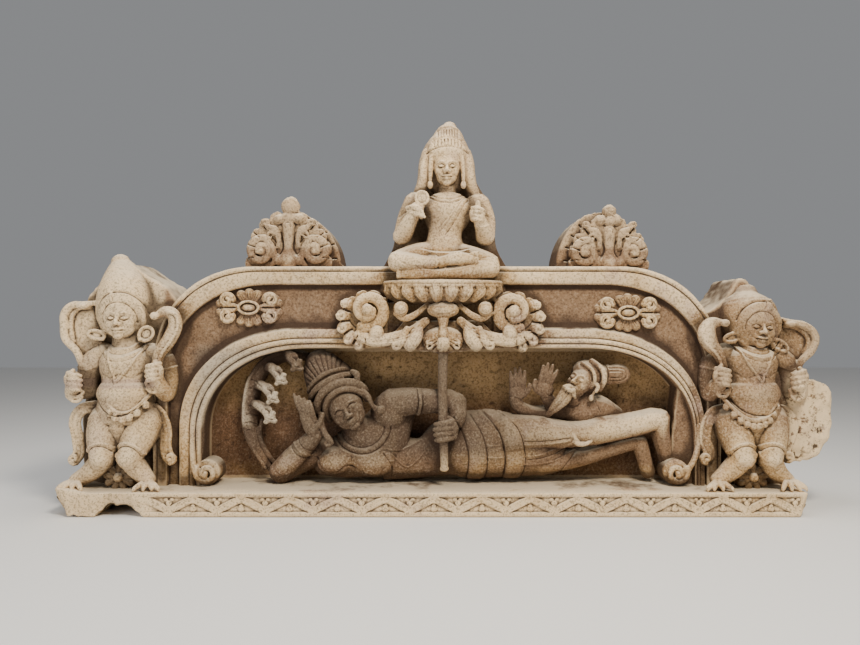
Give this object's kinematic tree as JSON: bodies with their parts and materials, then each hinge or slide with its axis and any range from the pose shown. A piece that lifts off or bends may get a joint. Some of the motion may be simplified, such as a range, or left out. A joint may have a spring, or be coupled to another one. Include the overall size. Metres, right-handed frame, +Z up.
{
  "type": "stone relief panel",
  "caption": "Carved sandstone pediment on its own plinth: a moulded arch over a niche with a reclining figure, a seated figure on top and a guardian at each end.",
  "frame": {"origin": "middle of the plinth's underside, half way along and half way back", "axes": "+X along the plinth to the viewer's right, +Y towards the plain back, +Z up; the carving faces -Y"},
  "size_m": [2.422, 0.3405, 1.2352],
  "materials": {
    "sandstone": "rough weathered sandstone"
  },
  "bodies": {
    "root": {"relief_panel": "sandstone"}
  },
  "joints": []
}
